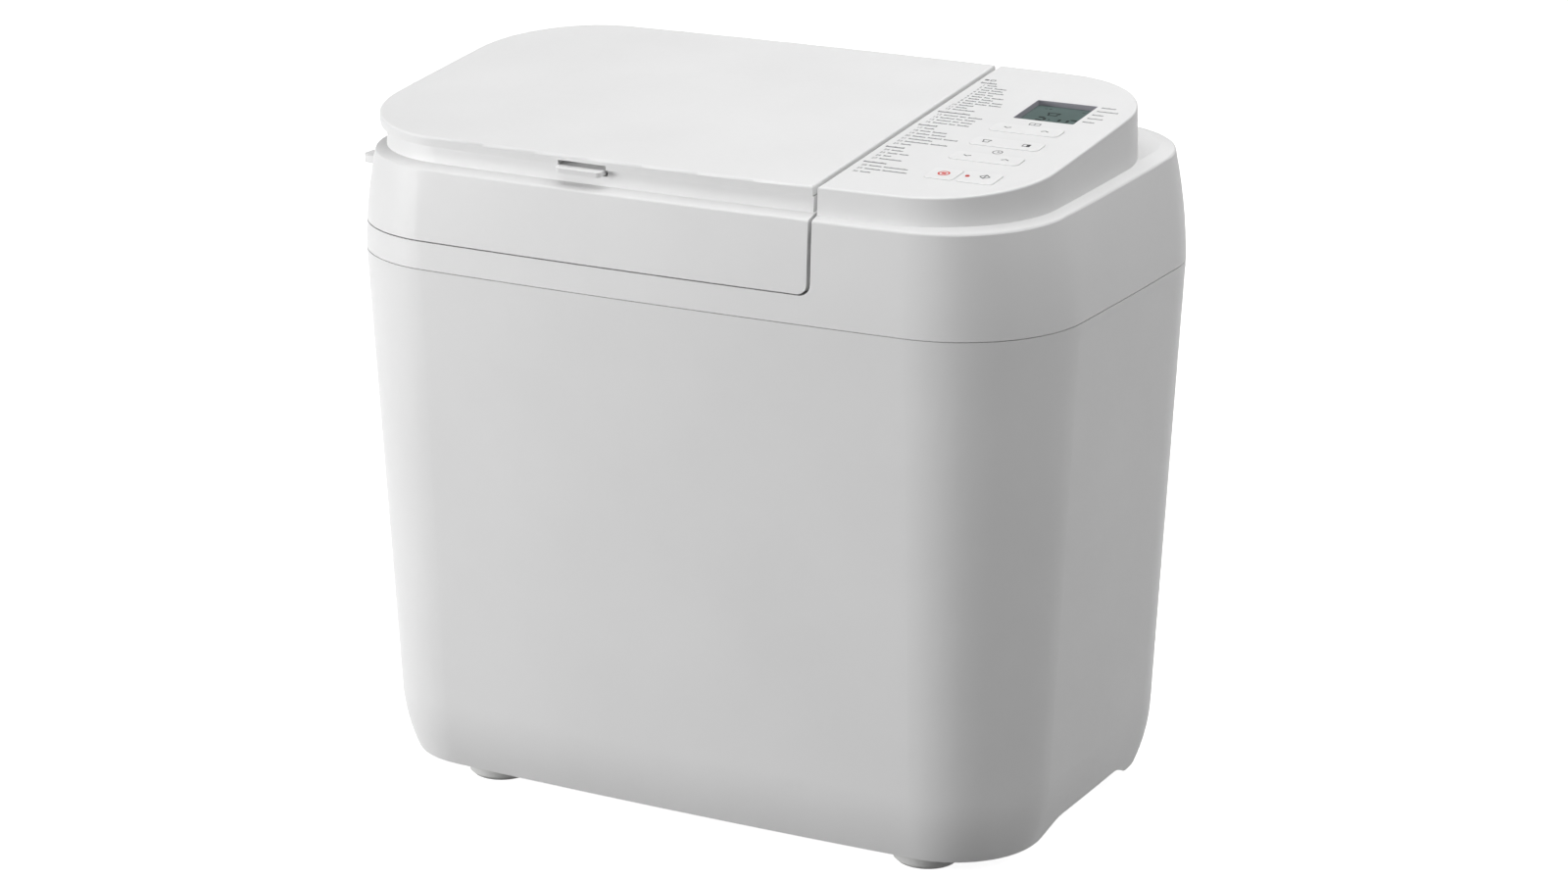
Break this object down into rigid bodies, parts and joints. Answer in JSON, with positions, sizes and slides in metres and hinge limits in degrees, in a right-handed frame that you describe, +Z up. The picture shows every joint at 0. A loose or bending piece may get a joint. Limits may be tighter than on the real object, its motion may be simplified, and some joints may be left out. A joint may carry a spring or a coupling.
{
  "type": "bread machine",
  "caption": "Table-top bread machine: tapered rounded casing, hinged lid with ingredient tray and cover, tilted key panel, heated chamber with pan, blade and belt drive.",
  "frame": {"origin": "centre of the overall box on the floor plane under the feet", "axes": "+X to the right seen from the front, +Y to the back, +Z up"},
  "size_m": [0.4044, 0.2587, 0.3675],
  "materials": {
    "casing_white": "fine satin texture",
    "lid_white": "fine satin texture",
    "cover_white": "fine satin texture",
    "key_white": "satin",
    "foot_rubber": "matte",
    "base_grey": "matte",
    "screw_steel": "zinc plated",
    "pin_steel": "ground",
    "chamber_steel": "aluminised sheet",
    "heater_steel": "dark oxide",
    "sensor_steel": "satin",
    "fuse_white": "matte",
    "pan_coating": "non-stick coating",
    "pan_metal": "cast",
    "bush_brass": "turned",
    "handle_steel": "bright wire",
    "pulley_plastic": "moulded",
    "belt_rubber": "matte",
    "motor_metal": "painted can",
    "bracket_steel": "zinc plated",
    "board_green": "laminate",
    "part_black": "moulded",
    "sleeve_blue": "shrink sleeve",
    "gland_grey": "matte",
    "display_glass": "clear",
    "display_grey": "liquid crystal cell",
    "lamp_red": "clear red",
    "liner_steel": "aluminised sheet",
    "seal_silicone": "matte",
    "tray_coating": "moulded"
  },
  "bodies": {
    "casing": {"lower_casing": "casing_white", "upper_casing": "casing_white", "base_plate": "base_grey", "feet": "foot_rubber", "base_screws": "screw_steel", "lid_hinge_pins": "pin_steel", "baking_chamber": "chamber_steel", "heater_element": "heater_steel", "heater_clips": "pin_steel", "temperature_sensor": "sensor_steel", "thermal_fuse": "fuse_white", "pan_seat": "chamber_steel", "drive_bearing": "bush_brass", "drive_belt": "belt_rubber", "motor": "motor_metal", "motor_bracket": "bracket_steel", "power_board": "board_green", "relay": "part_black", "capacitor": "sleeve_blue", "cord_gland": "gland_grey", "control_board": "board_green", "display_module": "display_grey", "display_window": "display_glass", "key_switches": "part_black"},
    "lid": {"lid_shell": "lid_white", "lid_liner": "liner_steel", "lid_screws": "screw_steel", "lid_seal": "seal_silicone", "ingredient_tray": "tray_coating", "flap_pin": "pin_steel", "tray_solenoid": "part_black", "cover_hinge_pins": "pin_steel"},
    "cover": {"top_cover": "cover_white", "cover_tab": "cover_white", "cover_liner": "tray_coating", "cover_seal": "seal_silicone"},
    "flap": {"tray_flap": "liner_steel"},
    "pan": {"bread_pan": "pan_coating", "pan_base": "pan_metal", "pan_bush": "bush_brass"},
    "handle": {"pan_handle": "handle_steel"},
    "kneader": {"kneading_blade": "pan_coating", "blade_shaft": "pin_steel", "pan_coupling": "pan_metal"},
    "drive": {"drive_shaft": "pin_steel", "drive_pulley": "pulley_plastic", "drive_coupling": "pan_metal", "shaft_circlip": "pin_steel"},
    "rotor": {"motor_shaft": "pin_steel", "motor_pulley": "pulley_plastic"},
    "menu": {"menu_rocker": "key_white"},
    "crust": {"crust_rocker": "key_white"},
    "timer": {"timer_rocker": "key_white"},
    "stop": {"stop_key": "key_white"},
    "start": {"start_key": "key_white", "indicator_lens": "lamp_red"}
  },
  "joints": [
    {"name": "lid_hinge", "type": "hinge", "parent": "casing", "child": "lid", "pos_m": [-0.0435, 0.12335, 0.3], "axis": [-1, 0, 0], "range_deg": [0, 95]},
    {"name": "cover_hinge", "type": "hinge", "parent": "lid", "child": "cover", "pos_m": [-0.0435, 0.08685, 0.35901], "axis": [-1, 0, 0], "range_deg": [0, 92]},
    {"name": "flap_hinge", "type": "hinge", "parent": "lid", "child": "flap", "pos_m": [-0.05588, 0.0225, 0.297], "axis": [1, 0, 0], "range_deg": [0, 70], "stiffness_Nm_per_rad": 0.008, "springref_deg": -40.11},
    {"name": "pan_twist", "type": "hinge", "parent": "casing", "child": "pan", "pos_m": [-0.04988, -0.0065, 0.084], "axis": [0, 0, 1], "range_deg": [0, 8]},
    {"name": "handle_swing", "type": "hinge", "parent": "pan", "child": "handle", "pos_m": [-0.04988, -0.0065, 0.201], "axis": [-1, 0, 0], "range_deg": [0, 180]},
    {"name": "drive_spin", "type": "hinge", "parent": "casing", "child": "drive", "pos_m": [-0.04988, -0.0065, 0.05], "axis": [0, 0, 1], "continuous": true},
    {"name": "kneader_spin", "type": "hinge", "parent": "pan", "child": "kneader", "pos_m": [-0.04988, -0.0065, 0.09], "axis": [0, 0, 1], "continuous": true},
    {"name": "motor_spin", "type": "hinge", "parent": "casing", "child": "rotor", "pos_m": [0.1215, -0.0065, 0.04], "axis": [0, 0, 1], "continuous": true},
    {"name": "menu_rock", "type": "hinge", "parent": "casing", "child": "menu", "pos_m": [0.1482, -0.01196, 0.3528], "axis": [0, 0.9945, 0.1045], "range_deg": [-2.5, 2.5], "stiffness_Nm_per_rad": 0.4},
    {"name": "crust_rock", "type": "hinge", "parent": "casing", "child": "crust", "pos_m": [0.1482, -0.03396, 0.35049], "axis": [0, 0.9945, 0.1045], "range_deg": [-2.5, 2.5], "stiffness_Nm_per_rad": 0.4},
    {"name": "timer_rock", "type": "hinge", "parent": "casing", "child": "timer", "pos_m": [0.1482, -0.05646, 0.34812], "axis": [0, 0.9945, 0.1045], "range_deg": [-2.5, 2.5], "stiffness_Nm_per_rad": 0.4},
    {"name": "stop_press", "type": "slide", "parent": "casing", "child": "stop", "axis": [0, 0.1045, -0.9945], "range_m": [0, 0.0007], "stiffness_N_per_m": 2000},
    {"name": "start_press", "type": "slide", "parent": "casing", "child": "start", "axis": [0, 0.1045, -0.9945], "range_m": [0, 0.0007], "stiffness_N_per_m": 2000}
  ],
  "couplings": [
    {"joint": "kneader_spin", "follows": "drive_spin", "ratio": 1},
    {"joint": "motor_spin", "follows": "drive_spin", "ratio": 5.3333}
  ]
}
